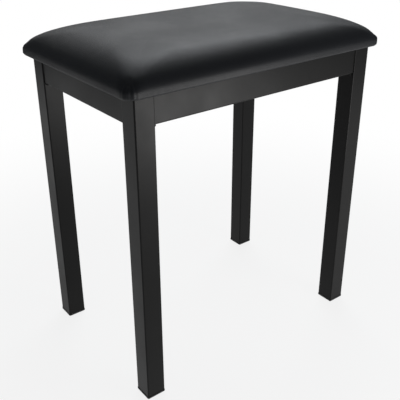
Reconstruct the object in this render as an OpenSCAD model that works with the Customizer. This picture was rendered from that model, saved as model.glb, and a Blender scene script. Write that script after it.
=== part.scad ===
// Piano bench: a welded frame of square and rectangular steel tube, with an upholstered seat
// bolted on from below. Millimetres, +Z up. X runs along the seat's length and Y along its depth,
// with the front at -Y. The origin is on the floor, in the middle of the footprint.

/* [Frame] */
// Length of the frame over the outer faces of the legs
frame_w = 430; // [340:2:560]
// Depth of the frame over the outer faces of the legs
frame_d = 284; // [230:2:360]
// Height of the frame's top edge above the floor
frame_h = 469; // [380:1:570]
// Side of the square leg tube
leg_size = 30; // [25:1:38]
// Wall thickness of the leg tube
leg_wall = 1.2; // [0.9:0.1:2]
// Outer corner radius of the leg tube
leg_corner = 1.8; // [1.5:0.1:3.5]
// Height of the rail tube
rail_h = 40; // [30:1:60]
// Thickness of the rail tube
rail_t = 20; // [15:1:24]
// Wall thickness of the rail tube
rail_wall = 1.2; // [0.9:0.1:2]
// Outer corner radius of the rail tube
rail_corner = 2; // [1.5:0.1:3.5]
// Set-back of a rail's outer face from the outer faces of the legs
rail_setback = 1.5; // [0.5:0.1:3]
// Leg length of the fillet welds
weld_leg = 3; // [2:0.2:4]

/* [Gussets] */
// Length of a gusset plate along each rail, from the leg
gusset_run = 60; // [54:1:80]
// Thickness of a gusset plate
gusset_t = 2.5; // [2:0.1:4]
// Distance of a gusset's top face below the frame's top edge
gusset_drop = 3; // [2.4:0.1:6]
// Distance of a seat bolt from the two inner faces of its leg
bolt_inset = 17; // [14:0.5:20]
// Radial clearance of the bolt in the washer, the gusset, the lining and the board
bolt_clear = 0.5; // [0.2:0.1:1]

/* [Foot plugs] */
// Thickness of the flange that stands on the floor
foot_flange_t = 3; // [2:0.1:8]
// How far the flange stands proud of the leg tube, on each side
foot_proud = 0.5; // [0:0.1:1.5]
// Width and height of the small step round the bottom of the flange
foot_step = 0.5; // [0.2:0.1:1]
// Height of the stem inside the leg tube
stem_h = 18; // [12:1:30]
// Wall thickness of the stem
stem_wall = 2; // [1.5:0.1:3]
// Gap between the stem and the tube, bridged by the grip ribs
stem_gap = 1.3; // [0.8:0.1:2]
// Thickness of one grip rib
rib_t = 1.2; // [0.8:0.1:1.6]
// Number of grip ribs
rib_count = 3; // [2:1:4]
// Clearance of the ribs in the tube
rib_clear = 0.05; // [0.02:0.01:0.2]

/* [Seat] */
// Overhang of the seat past the frame at each end
overhang_x = 15; // [8:1:30]
// Overhang of the seat past the frame at the front and the rear
overhang_y = 10; // [6:1:30]
// Corner radius of the seat in plan
seat_corner = 16; // [10:1:40]
// Thickness of the plywood board
board_t = 10; // [8.3:0.1:18]
// Height of the cover's straight edge above the board
edge_rise = 2; // [1.8:0.1:8]
// Rise of the crowned top above the straight edge
crown_h = 32; // [15:0.5:60]
// Distance in from the seat's edge over which the top rises
crown_run = 98; // [60:1:118]
// How quickly the top rises at its edge, where 2 is a gentle dome
crown_power = 4; // [2:0.1:5]
// Thickness of the leathercloth cover
cover_t = 1.2; // [0.8:0.1:1.6]
// Radius of the cover where it turns under the board
fold_r = 2.4; // [1.6:0.1:3.6]
// How far the cover's turned-under edge reaches past the inner faces of the rails
lip_reach = 11.5; // [9:0.5:14]
// Gap between the cover and what it wraps
wrap_gap = 0.2; // [0.1:0.05:0.4]
// Thickness of the non-woven lining
lining_t = 0.6; // [0.4:0.1:0.8]
// Gap between the lining's edge and the rails and legs
lining_gap = 2; // [1:0.5:3]

/* [Fasteners] */
// Thread diameter of the seat bolts
bolt_d = 6; // [5:0.5:8]
// Width across flats of the bolt heads
bolt_af = 10; // [9:1:13]
// Height of the bolt heads
bolt_head_h = 4; // [3:0.5:6]
// Distance of a bolt's tip below the top face of the board
bolt_tip_gap = 0.5; // [0.3:0.1:2]
// Outer diameter of the washers
washer_od = 16; // [12:1:18]
// Thickness of the washers
washer_t = 1.6; // [1:0.1:2]
// Flange diameter of the tee nuts
tee_flange_d = 19; // [17:1:24]
// Flange thickness of the tee nuts
tee_flange_t = 1.2; // [0.8:0.1:1.3]
// Length of the tee nuts' barrel below the flange
tee_barrel_h = 7; // [5:0.5:8.5]
// Wall thickness of the tee nuts' barrel
tee_wall = 0.9; // [0.7:0.1:1.5]
// Length of the tee nuts' prongs
prong_h = 6; // [4:0.5:8]
// Crown width of the staples
staple_w = 10; // [6:1:12]
// Wire thickness of the staples
staple_wire = 0.6; // [0.5:0.1:0.8]
// Leg length of the staples, from the crown's outer face
staple_leg = 8; // [6:0.5:9]
// Largest distance from one staple to the next
staple_pitch = 42; // [30:1:60]

/* [Hidden] */
$fn = 48;

// Frame: inner faces of the legs and the rails, in the corner at +X and +Y
leg_in_x = frame_w / 2 - leg_size;
leg_in_y = frame_d / 2 - leg_size;
rail_in_x = frame_w / 2 - rail_setback - rail_t;
rail_in_y = frame_d / 2 - rail_setback - rail_t;
rail_z = frame_h - rail_h;
gusset_z = frame_h - gusset_drop - gusset_t;
gusset_weld_share = 1 / 3;
gusset_weld = gusset_run * gusset_weld_share;
bolt_x = leg_in_x - bolt_inset;
bolt_y = leg_in_y - bolt_inset;
min_corner = 0.5;

// Foot plugs
tube_inside = leg_size - 2 * leg_wall;
tube_inner_corner = max(leg_corner - leg_wall, min_corner);
stem_size = tube_inside - 2 * stem_gap;
rib_size = tube_inside - 2 * rib_clear;
rib_wall = stem_gap + stem_wall / 2;
rib_pitch = stem_h / (rib_count + 1);

// Seat: half sizes over the cover, and the levels from the frame's top edge upwards
seat_hx = frame_w / 2 + overhang_x;
seat_hy = frame_d / 2 + overhang_y;
board_z = frame_h + cover_t;
board_top = board_z + board_t;
edge_z = board_top + edge_rise;
board_skin = cover_t + wrap_gap;
lip_hx = rail_in_x - lip_reach;
lip_hy = rail_in_y - lip_reach;
lip_corner = 2;
least_flat_top = 30;
crown_inset = min(crown_run, seat_hy - least_flat_top);
crown_steps = 14;
crown_step_power = 1.5;
least_straight = 5;
arc_steps = 10;
fold_steps = 4;

// Lining and staples, under the cover's turned-under edge
cover_staple_z = frame_h - staple_wire;
lining_z = cover_staple_z - lining_t;
lining_staple_z = lining_z - staple_wire;
lining_hx = rail_in_x - lining_gap;
lining_hy = rail_in_y - lining_gap;
lining_cut = lining_hx + lining_hy - leg_in_x - leg_in_y + 2 * lining_gap;
cover_staple_share = 0.4;
cover_staple_inset = lip_reach * cover_staple_share;
lining_staple_inset = 2.5;
staple_gap = 3;
slot_clear = 0.05;

// Fasteners
bolt_hole_r = bolt_d / 2 + bolt_clear;
thread_clear = 0.05;
tee_bore_r = bolt_d / 2 + thread_clear;
tee_barrel_r = tee_bore_r + tee_wall;
barrel_clear = 0.1;
prong_count = 4;
prong_w = 3;
prong_t = 1.2;
prong_edge = 1;
prong_r = tee_flange_d / 2 - prong_edge;
through = 1;

// ---- helpers ----

// Puts a child made for the corner at +X and +Y into the corner at sx and sy.
module corner(sx, sy) {
    mirror([sx < 0 ? 1 : 0, 0, 0])
        mirror([0, sy < 0 ? 1 : 0, 0])
            children();
}

// Repeats a child made for the corner at +X and +Y in all four corners.
module each_corner() {
    for (sx = [-1, 1], sy = [-1, 1])
        corner(sx, sy) children();
}

// Puts a child at each seat bolt, at z = 0.
module each_bolt() {
    for (sx = [-1, 1], sy = [-1, 1])
        translate([sx * bolt_x, sy * bolt_y, 0]) children();
}

// A w by d rectangle with rounded corners, centred.
module round_rect(w, d, r) {
    square([w - 2 * r, d], center = true);
    square([w, d - 2 * r], center = true);
    for (sx = [-1, 1], sy = [-1, 1])
        translate([sx * (w / 2 - r), sy * (d / 2 - r)]) circle(r);
}

// The cross-section of a drawn tube.
module tube_section(w, d, wall, r) {
    difference() {
        round_rect(w, d, r);
        round_rect(w - 2 * wall, d - 2 * wall, max(r - wall, min_corner));
    }
}

// One closed outline of a rounded rectangle at height z, anticlockwise from above.
function ring(hx, hy, r, z) = [
    for (quarter = [0:3], step = [0:arc_steps])
        let (
            a = 90 * quarter + 90 * step / arc_steps,
            sx = quarter == 0 || quarter == 3 ? 1 : -1,
            sy = quarter < 2 ? 1 : -1
        )
        [sx * (hx - r) + r * cos(a), sy * (hy - r) + r * sin(a), z]
];

// A closed solid through a list of outlines, from the first one's cap to the last one's.
module ring_solid(rings) {
    n = len(rings[0]);
    last = len(rings) - 1;
    polyhedron(
        points = [for (outline = rings, p = outline) p],
        faces = concat(
            [[for (i = [0:n - 1]) i]],
            [
                for (k = [0:last - 1], i = [0:n - 1], half = [0, 1])
                    let (low = k * n, high = low + n, j = (i + 1) % n)
                    half == 0 ? [low + i, high + i, high + j] : [low + i, high + j, low + j]
            ],
            [[for (i = [n - 1:-1:0]) last * n + i]]
        )
    );
}

function reversed(list) = [for (i = [len(list) - 1:-1:0]) list[i]];

// The outline at the seat's edge, skin inside the cover's outer face, at height z.
function edge_ring(skin, z) = ring(seat_hx - skin, seat_hy - skin, seat_corner - skin, z);

// The crowned top as outlines from its edge to its flat middle, for a surface that lies skin
// inside the cover's outer face. The outlines are closest together at the edge.
function crown_rings(skin) = [
    for (step = [0:crown_steps])
        let (
            t = pow(step / crown_steps, crown_step_power),
            inset = skin + t * crown_inset,
            rise = crown_h * (1 - pow(1 - t, crown_power)),
            hy = seat_hy - inset
        )
        ring(
            seat_hx - inset, hy, min(seat_corner - skin + t * crown_inset, hy - least_straight),
            edge_z - skin + rise
        )
];

// The cover's fold under the board, from its side down to its underside.
function fold_rings() = [
    for (step = [0:fold_steps])
        let (a = 90 * step / fold_steps)
        edge_ring(fold_r * (1 - cos(a)), frame_h + fold_r * (1 - sin(a)))
];

// Places along a row of staples that runs from -end to end.
function spread(end) =
    let (spaces = ceil(2 * end / staple_pitch))
    [for (i = [0:spaces]) -end + 2 * end * i / spaces];

// Puts a child made along X at each staple of the rows at y = -hy, y = hy, x = -hx and x = hx.
module staple_rows(hx, hy, end_x, end_y) {
    for (side = [-1, 1]) {
        for (x = spread(end_x))
            translate([x, side * hy, 0]) children();
        for (y = spread(end_y))
            translate([side * hx, y, 0]) rotate([0, 0, 90]) children();
    }
}

module each_cover_staple() {
    end_x = min(lip_hx, leg_in_x - staple_gap) - staple_w / 2;
    end_y = min(lip_hy, leg_in_y - staple_gap) - staple_w / 2;
    staple_rows(lip_hx + cover_staple_inset, lip_hy + cover_staple_inset, end_x, end_y) children();
}

module each_lining_staple() {
    end_x = lining_hx - lining_cut - staple_w / 2;
    end_y = lining_hy - lining_cut - staple_w / 2;
    staple_rows(lining_hx - lining_staple_inset, lining_hy - lining_staple_inset, end_x, end_y)
        children();
}

// One staple with its crown's underside at z = 0 and its legs up, or the slots for its legs.
module staple_legs(clear) {
    for (side = [-1, 1])
        translate([side * (staple_w - staple_wire) / 2, 0, (staple_leg + clear) / 2])
            cube([staple_wire + 2 * clear, staple_wire + 2 * clear, staple_leg + clear], center = true);
}

module staple() {
    translate([0, 0, staple_wire / 2]) cube([staple_w, staple_wire, staple_wire], center = true);
    staple_legs(0);
}

module cover_staple_slots() {
    translate([0, 0, cover_staple_z]) each_cover_staple() staple_legs(slot_clear);
}

module lining_staple_slots() {
    translate([0, 0, lining_staple_z]) each_lining_staple() staple_legs(slot_clear);
}

// ---- frame ----

module leg(sx, sy) {
    color("#2b2b2d")
        translate([sx * (frame_w - leg_size) / 2, sy * (frame_d - leg_size) / 2, foot_flange_t])
            linear_extrude(frame_h - foot_flange_t)
                tube_section(leg_size, leg_size, leg_wall, leg_corner);
}

// A rail made along X, centred, with its underside at z = 0.
module rail(length) {
    color("#303032")
        translate([-length / 2, 0, rail_h / 2])
            rotate([90, 0, 90])
                linear_extrude(length)
                    tube_section(rail_t, rail_h, rail_wall, rail_corner);
}

module long_rail(side) {
    translate([0, side * (rail_in_y + rail_t / 2), rail_z]) rail(2 * leg_in_x);
}

module short_rail(side) {
    translate([side * (rail_in_x + rail_t / 2), 0, rail_z]) rotate([0, 0, 90]) rail(2 * leg_in_y);
}

// A corner plate, notched round the leg, with the hole for its seat bolt.
module gusset(sx, sy) {
    color("#2b2b2d")
        corner(sx, sy)
            translate([0, 0, gusset_z])
                difference() {
                    linear_extrude(gusset_t)
                        polygon([
                            [leg_in_x, rail_in_y],
                            [leg_in_x, leg_in_y],
                            [rail_in_x, leg_in_y],
                            [rail_in_x, leg_in_y - gusset_run],
                            [leg_in_x - gusset_run, rail_in_y]
                        ]);
                    translate([bolt_x, bolt_y, -through])
                        cylinder(h = gusset_t + 2 * through, r = bolt_hole_r);
                }
}

// A fillet weld along +Z from z = 0, in the angle between the planes x = 0 and y = 0.
module fillet(length) {
    linear_extrude(length) polygon([[0, 0], [-weld_leg, 0], [0, -weld_leg]]);
}

// A fillet weld along -Y from y = 0, in the angle between the planes x = 0 and z = 0.
module fillet_along_y(length) {
    rotate([90, 0, 0]) fillet(length);
}

// A fillet weld along -X from x = 0, in the angle between the planes y = 0 and z = 0.
module fillet_along_x(length) {
    rotate([0, -90, 0]) fillet(length);
}

// Rails to leg on their inner faces and underneath, and the gusset to the rails.
module corner_welds() {
    upright_z = rail_z + rail_corner;
    flat = rail_t - 2 * rail_corner;
    translate([leg_in_x, rail_in_y, upright_z]) fillet(gusset_z - upright_z);
    translate([rail_in_x, leg_in_y, upright_z]) fillet(gusset_z - upright_z);
    translate([leg_in_x, rail_in_y + rail_corner + flat, rail_z]) fillet_along_y(flat);
    translate([rail_in_x + rail_corner + flat, leg_in_y, rail_z]) fillet_along_x(flat);
    translate([leg_in_x - gusset_weld, rail_in_y, gusset_z]) fillet_along_x(gusset_weld);
    translate([rail_in_x, leg_in_y - gusset_weld, gusset_z]) fillet_along_y(gusset_weld);
}

module weld_beads() {
    color("#242426") each_corner() corner_welds();
}

// A push-in plug: a flange under the tube, and a hollow stem with grip ribs inside it.
module foot_plug(sx, sy) {
    flange = leg_size + 2 * foot_proud;
    tread = flange - 2 * foot_step;
    color("#161616")
        translate([sx * (frame_w - leg_size) / 2, sy * (frame_d - leg_size) / 2, 0]) {
            linear_extrude(foot_step)
                round_rect(tread, tread, leg_corner);
            translate([0, 0, foot_step])
                linear_extrude(foot_flange_t - foot_step)
                    round_rect(flange, flange, leg_corner + foot_proud);
            translate([0, 0, foot_flange_t])
                linear_extrude(stem_h)
                    tube_section(stem_size, stem_size, stem_wall, tube_inner_corner);
            for (i = [1:rib_count])
                translate([0, 0, foot_flange_t + i * rib_pitch])
                    linear_extrude(rib_t)
                        tube_section(rib_size, rib_size, rib_wall, tube_inner_corner + rib_clear);
        }
}

// ---- seat ----

// The prongs of a tee nut, or with a clearance the slots for them, below z = 0.
module prongs(clear) {
    for (i = [0:prong_count - 1])
        rotate([0, 0, 45 + 360 * i / prong_count])
            translate([prong_r - prong_t / 2, 0, -(prong_h + clear) / 2])
                cube([prong_t + 2 * clear, prong_w + 2 * clear, prong_h + clear], center = true);
}

// The hole that takes one tee nut and its bolt, seen from the board's top face at z = 0.
module tee_hole() {
    below = tee_flange_t + tee_barrel_h + barrel_clear;
    translate([0, 0, -tee_flange_t])
        cylinder(h = tee_flange_t + through, r = tee_flange_d / 2 + barrel_clear);
    translate([0, 0, -below]) cylinder(h = below, r = tee_barrel_r + barrel_clear);
    translate([0, 0, -board_t - through]) cylinder(h = board_t + through, r = bolt_hole_r);
    translate([0, 0, -tee_flange_t]) prongs(slot_clear);
}

module seat_board() {
    color("#b98f5f")
        difference() {
            translate([0, 0, board_z])
                linear_extrude(board_t)
                    round_rect(
                        2 * (seat_hx - board_skin), 2 * (seat_hy - board_skin),
                        seat_corner - board_skin
                    );
            translate([0, 0, board_top]) each_bolt() tee_hole();
            cover_staple_slots();
            lining_staple_slots();
        }
}

module seat_foam() {
    color("#d8cf9a")
        ring_solid(concat([edge_ring(board_skin, board_top)], crown_rings(board_skin)));
}

// The cover: over the crown, down the sides, and turned under the board.
module seat_cover() {
    color("#2c2c2f")
        difference() {
            ring_solid(concat(
                reversed(crown_rings(0)),
                fold_rings(),
                [
                    ring(lip_hx, lip_hy, lip_corner, frame_h),
                    ring(lip_hx, lip_hy, lip_corner, board_z),
                    edge_ring(cover_t, board_z)
                ],
                crown_rings(cover_t)
            ));
            cover_staple_slots();
            lining_staple_slots();
        }
}

module bottom_lining() {
    color("#1b1b1d")
        difference() {
            translate([0, 0, lining_z])
                linear_extrude(lining_t)
                    polygon([
                        for (c = [[1, 1], [-1, 1], [-1, -1], [1, -1]], k = [0, 1])
                            let (along_x = (k == 0) == (c[0] * c[1] < 0))
                            [
                                c[0] * (lining_hx - (along_x ? lining_cut : 0)),
                                c[1] * (lining_hy - (along_x ? 0 : lining_cut))
                            ]
                    ]);
            translate([0, 0, lining_z - through])
                each_bolt() cylinder(h = lining_t + 2 * through, r = bolt_hole_r);
            lining_staple_slots();
        }
}

module cover_staples() {
    color("#b9bcc0") translate([0, 0, cover_staple_z]) each_cover_staple() staple();
}

module lining_staples() {
    color("#b9bcc0") translate([0, 0, lining_staple_z]) each_lining_staple() staple();
}

// ---- fasteners ----

module tee_nuts() {
    color("#b4b7ba")
        translate([0, 0, board_top])
            each_bolt() {
                difference() {
                    union() {
                        translate([0, 0, -tee_flange_t])
                            cylinder(h = tee_flange_t, r = tee_flange_d / 2);
                        translate([0, 0, -tee_flange_t - tee_barrel_h])
                            cylinder(h = tee_flange_t + tee_barrel_h, r = tee_barrel_r);
                    }
                    translate([0, 0, -board_t]) cylinder(h = board_t + through, r = tee_bore_r);
                }
                translate([0, 0, -tee_flange_t]) prongs(0);
            }
}

module seat_bolts() {
    seat_z = gusset_z - washer_t;
    color("#a9adb2")
        each_bolt() {
            translate([0, 0, seat_z - bolt_head_h])
                cylinder(h = bolt_head_h, d = bolt_af / cos(30), $fn = 6);
            translate([0, 0, seat_z - bolt_head_h / 2])
                cylinder(h = board_top - bolt_tip_gap - seat_z + bolt_head_h / 2, d = bolt_d);
        }
}

module bolt_washers() {
    color("#a9adb2")
        translate([0, 0, gusset_z - washer_t])
            each_bolt()
                difference() {
                    cylinder(h = washer_t, d = washer_od);
                    translate([0, 0, -through]) cylinder(h = washer_t + 2 * through, r = bolt_hole_r);
                }
}

leg(-1, -1);  // leg_front_left
leg(1, -1);  // leg_front_right
leg(-1, 1);  // leg_rear_left
leg(1, 1);  // leg_rear_right
long_rail(-1);  // rail_front
long_rail(1);  // rail_rear
short_rail(-1);  // rail_left
short_rail(1);  // rail_right
foot_plug(-1, -1);  // foot_plug_front_left
foot_plug(1, -1);  // foot_plug_front_right
foot_plug(-1, 1);  // foot_plug_rear_left
foot_plug(1, 1);  // foot_plug_rear_right
gusset(-1, -1);  // gusset_front_left
gusset(1, -1);  // gusset_front_right
gusset(-1, 1);  // gusset_rear_left
gusset(1, 1);  // gusset_rear_right
weld_beads();
seat_board();
seat_foam();
seat_cover();
bottom_lining();
cover_staples();
lining_staples();
tee_nuts();
seat_bolts();
bolt_washers();
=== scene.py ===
import math

import bmesh
import bpy
import numpy as np
from bpy.props import FloatProperty, FloatVectorProperty, PointerProperty
from mathutils import Matrix, Vector, noise


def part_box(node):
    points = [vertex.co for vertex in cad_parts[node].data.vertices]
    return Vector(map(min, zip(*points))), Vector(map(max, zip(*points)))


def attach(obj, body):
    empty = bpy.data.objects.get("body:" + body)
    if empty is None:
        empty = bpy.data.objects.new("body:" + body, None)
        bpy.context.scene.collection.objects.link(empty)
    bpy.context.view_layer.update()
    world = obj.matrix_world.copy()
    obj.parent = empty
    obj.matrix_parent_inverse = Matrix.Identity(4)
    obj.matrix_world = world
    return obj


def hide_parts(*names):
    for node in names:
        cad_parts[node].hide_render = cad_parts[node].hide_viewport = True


bl_info = {
    "name": "Piano bench",
    "version": (1, 0, 0),
    "blender": (4, 5, 0),
    "location": "View3D > Sidebar > Bench",
    "description": "Finishes a steel-framed piano bench: coating, plugs, welds, seat, lining and fixings",
    "category": "Object",
}

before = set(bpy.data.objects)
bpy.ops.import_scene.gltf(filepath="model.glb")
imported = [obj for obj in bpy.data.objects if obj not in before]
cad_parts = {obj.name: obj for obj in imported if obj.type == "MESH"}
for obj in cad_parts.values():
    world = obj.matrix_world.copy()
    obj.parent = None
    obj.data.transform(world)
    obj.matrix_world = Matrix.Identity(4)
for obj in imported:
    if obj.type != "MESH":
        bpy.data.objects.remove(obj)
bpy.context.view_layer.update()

MM = 0.001
BODY = "root"
CORNERS = ("front_left", "front_right", "rear_left", "rear_right")
LEGS = [f"leg_{corner}" for corner in CORNERS]
RAILS = ["rail_front", "rail_rear", "rail_left", "rail_right"]
PLUGS = [f"foot_plug_{corner}" for corner in CORNERS]
GUSSETS = [f"gusset_{corner}" for corner in CORNERS]


# How much closer together the seat's points are towards its corners and towards its edge
CORNER_CROWDING = 1.3
EDGE_CROWDING = 1.25
# The largest corner radius of a ring of the seat's top, as a share of its half depth
ROUNDEST_END = 0.9

# The simulation of the seat's cover, and the smoothing of what it gives
CLOTH_FRAMES = 20
CLOTH_PRESSURE = 4
CLOTH_MASS = 0.3
CLOTH_STRETCH, CLOTH_SHEAR, CLOTH_BEND = 60, 30, 5
HELD_HEIGHT = 8 * MM
SMOOTHING_ROUNDS = 200
EDGE_ROUNDS = 10
EDGE_HEIGHT = 12 * MM

# The seat's corner folds: pitch and reach as shares of the corner radius, and heights over the board
FOLD_PITCH, FOLD_REACH, PULL_REACH = 0.4, 0.85, 0.8
FOLD_TOP, PULL_START, PULL_FADE = 11 * MM, 7 * MM, 16 * MM

# The cover's turned-under edge and the gap between foam and cover
LIP_CORNER = 2 * MM
FOAM_GAP = 0.6 * MM

# The lining's quads along and across the seat, and its puckers
LINING_CELLS = (76, 48)
PUCKER_SCALE, PUCKER_DEPTH = 22, 0.35 * MM

# Fasteners
SHANK_RADIUS = 3 * MM
SHANK_CLEARANCE = 0.5 * MM
SHANK_CHAMFER = 1 * MM
HEAD_FACE = 0.47
WASHER_EDGE = 0.2 * MM
FIXING_TURN = math.radians(50)


# ---- sizes and colours ----


class BENCH_PG_frame(bpy.types.PropertyGroup):
    """The frame's coating and its welds."""

    colour: FloatVectorProperty(
        name="Coat colour", description="Colour of the powder coat",
        subtype="COLOR", default=(0.0100, 0.0098, 0.0096), min=0, max=1,
    )
    roughness: FloatProperty(
        name="Coat roughness", description="Satin of the powder coat", default=0.36, min=0.05, max=1
    )
    peel: FloatProperty(
        name="Texture spacing", description="Spacing of the coat's fine lumps",
        default=1.3 * MM, min=0.3 * MM, max=5 * MM, unit="LENGTH",
    )
    ripple: FloatProperty(
        name="Weld ripple", description="Spacing of the ripples along a weld",
        default=1.6 * MM, min=0.8 * MM, max=4 * MM, unit="LENGTH",
    )
    plug_colour: FloatVectorProperty(
        name="Plug colour", description="Colour of the foot plugs",
        subtype="COLOR", default=(0.007, 0.007, 0.007), min=0, max=1,
    )


class BENCH_PG_seat(bpy.types.PropertyGroup):
    """The upholstered seat."""

    colour: FloatVectorProperty(
        name="Cover colour", description="Colour of the leathercloth",
        subtype="COLOR", default=(0.0105, 0.0116, 0.0146), min=0, max=1,
    )
    roughness: FloatProperty(
        name="Cover roughness", description="Sheen of the leathercloth", default=0.44, min=0.05, max=1
    )
    grain: FloatProperty(
        name="Grain size", description="Size of one pebble of the cover's grain",
        default=0.9 * MM, min=0.3 * MM, max=4 * MM, unit="LENGTH",
    )
    cell: FloatProperty(
        name="Mesh spacing", description="Spacing of the seat's mesh before it is smoothed",
        default=5 * MM, min=3 * MM, max=10 * MM, unit="LENGTH",
    )
    corner: FloatProperty(
        name="Corner radius", description="Corner radius of the seat in plan",
        default=16 * MM, min=8 * MM, max=40 * MM, unit="LENGTH",
    )
    edge_rise: FloatProperty(
        name="Straight edge", description="Height of the cover's straight edge above the board",
        default=2 * MM, min=0.5 * MM, max=10 * MM, unit="LENGTH",
    )
    crown_run: FloatProperty(
        name="Crown run", description="Distance in from the edge over which the top rises",
        default=98 * MM, min=40 * MM, max=118 * MM, unit="LENGTH",
    )
    crown_power: FloatProperty(
        name="Crown fullness", description="How quickly the top rises at its edge", default=4, min=2, max=6
    )
    roundness: FloatProperty(
        name="Edge roundness", description="1 leaves the top's edge sharp; less rounds it into the side",
        default=0.78, min=0.5, max=1,
    )
    swell: FloatProperty(
        name="Swell", description="How far the simulated cover may swell away from its starting shape",
        default=3 * MM, min=0, max=10 * MM, unit="LENGTH",
    )
    fold: FloatProperty(
        name="Corner fold depth", description="Depth of the folds at the seat's corners",
        default=1.0 * MM, min=0, max=3 * MM, unit="LENGTH",
    )
    pull: FloatProperty(
        name="Corner pull", description="How far the cover is pulled in above its corner folds",
        default=1.2 * MM, min=0, max=6 * MM, unit="LENGTH",
    )
    lip: FloatProperty(
        name="Turned-under edge", description="How far the cover reaches in past the rails, under the board",
        default=11.5 * MM, min=5 * MM, max=20 * MM, unit="LENGTH",
    )
    sag: FloatProperty(
        name="Lining sag", description="How far the lining hangs down in its middle",
        default=1.0 * MM, min=0, max=3 * MM, unit="LENGTH",
    )


class BENCH_PG_stage(bpy.types.PropertyGroup):
    """The camera, the floor and the light."""

    eye: FloatVectorProperty(
        name="Camera place", description="Where the camera stands", subtype="XYZ", unit="LENGTH",
        default=(-589.3 * MM, -756.4 * MM, 699.7 * MM),
    )
    heading: FloatProperty(
        name="Heading", description="Turn of the view from +Y towards +X", unit="ROTATION",
        default=math.radians(36.7),
    )
    pitch: FloatProperty(
        name="Pitch", description="How far the view looks down", unit="ROTATION", default=math.radians(25.3)
    )
    roll: FloatProperty(
        name="Roll", description="Turn of the view about its own axis", unit="ROTATION",
        default=math.radians(-0.6),
    )
    lens: FloatProperty(
        name="Lens", description="Focal length in millimetres", default=56.86, min=20, max=200
    )
    shift: FloatVectorProperty(
        name="Lens shift", description="Shift of the frame, in frame widths", size=2,
        default=(0.0225, -0.0475),
    )
    floor_half: FloatProperty(
        name="Floor half size", description="Half the side of the pale floor",
        default=1.6, min=1, max=10, unit="LENGTH",
    )


# ---- node helpers ----


def new_tree(name, kind, inputs, outputs):
    """A node group with named sockets, and its input and output nodes."""
    tree = bpy.data.node_groups.new(name, kind)
    for label, socket_type, value in inputs:
        socket = tree.interface.new_socket(label, in_out="INPUT", socket_type=socket_type)
        if value is not None:
            socket.default_value = value
    for label, socket_type in outputs:
        tree.interface.new_socket(label, in_out="OUTPUT", socket_type=socket_type)
    return tree, tree.nodes.new("NodeGroupInput"), tree.nodes.new("NodeGroupOutput")


def add(tree, kind, inputs=(), **settings):
    """Adds a node. inputs maps a socket's name or number to a value or to the socket that feeds it."""
    node = tree.nodes.new(kind)
    for key, value in settings.items():
        setattr(node, key, value)
    for key, value in dict(inputs).items():
        if isinstance(value, bpy.types.NodeSocket):
            tree.links.new(value, node.inputs[key])
        else:
            node.inputs[key].default_value = value
    return node


def add_group(tree, group, inputs):
    node = tree.nodes.new("ShaderNodeGroup")
    node.node_tree = group
    for key, value in inputs.items():
        if isinstance(value, bpy.types.NodeSocket):
            tree.links.new(value, node.inputs[key])
        else:
            node.inputs[key].default_value = value
    return node


def made_once(build):
    """Returns a function that builds a node group or material once and then hands out the same one."""
    made = {}

    def get():
        if "it" not in made:
            made["it"] = build()
        return made["it"]

    return get


# ---- shader groups ----


@made_once
def mottle_group():
    """Slow, soft variation over a surface, between two values."""
    tree, given, out = new_tree(
        "mottle", "ShaderNodeTree",
        [("Vector", "NodeSocketVector", None), ("Scale", "NodeSocketFloat", 10.0),
         ("Low", "NodeSocketFloat", 0.0), ("High", "NodeSocketFloat", 1.0)],
        [("Value", "NodeSocketFloat")],
    )
    cloud = add(tree, "ShaderNodeTexNoise", {
        "Vector": given.outputs["Vector"], "Scale": given.outputs["Scale"], "Detail": 3.0, "Roughness": 0.55,
    })
    spread = add(tree, "ShaderNodeMapRange", {
        "Value": cloud.outputs["Fac"], "From Min": 0.3, "From Max": 0.7,
        "To Min": given.outputs["Low"], "To Max": given.outputs["High"],
    }, interpolation_type="SMOOTHSTEP")
    tree.links.new(spread.outputs["Result"], out.inputs["Value"])
    return tree


@made_once
def cast_texture_group():
    """The lumpy skin of a powder coat or of moulded plastic: broad lumps with finer ones on them."""
    tree, given, out = new_tree(
        "cast_texture", "ShaderNodeTree",
        [("Vector", "NodeSocketVector", None), ("Spacing", "NodeSocketFloat", 0.001),
         ("Fine", "NodeSocketFloat", 0.3)],
        [("Height", "NodeSocketFloat")],
    )
    scale = add(tree, "ShaderNodeMath", {0: 1.0, 1: given.outputs["Spacing"]}, operation="DIVIDE")
    broad = add(tree, "ShaderNodeTexNoise", {
        "Vector": given.outputs["Vector"], "Scale": scale.outputs[0], "Detail": 1.0,
    })
    fine_scale = add(tree, "ShaderNodeMath", {0: scale.outputs[0], 1: 4.3}, operation="MULTIPLY")
    fine = add(tree, "ShaderNodeTexNoise", {
        "Vector": given.outputs["Vector"], "Scale": fine_scale.outputs[0], "Detail": 2.0,
    })
    height = add(tree, "ShaderNodeMath", {
        0: fine.outputs["Fac"], 1: given.outputs["Fine"], 2: broad.outputs["Fac"],
    }, operation="MULTIPLY_ADD")
    tree.links.new(height.outputs[0], out.inputs["Height"])
    return tree


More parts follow.
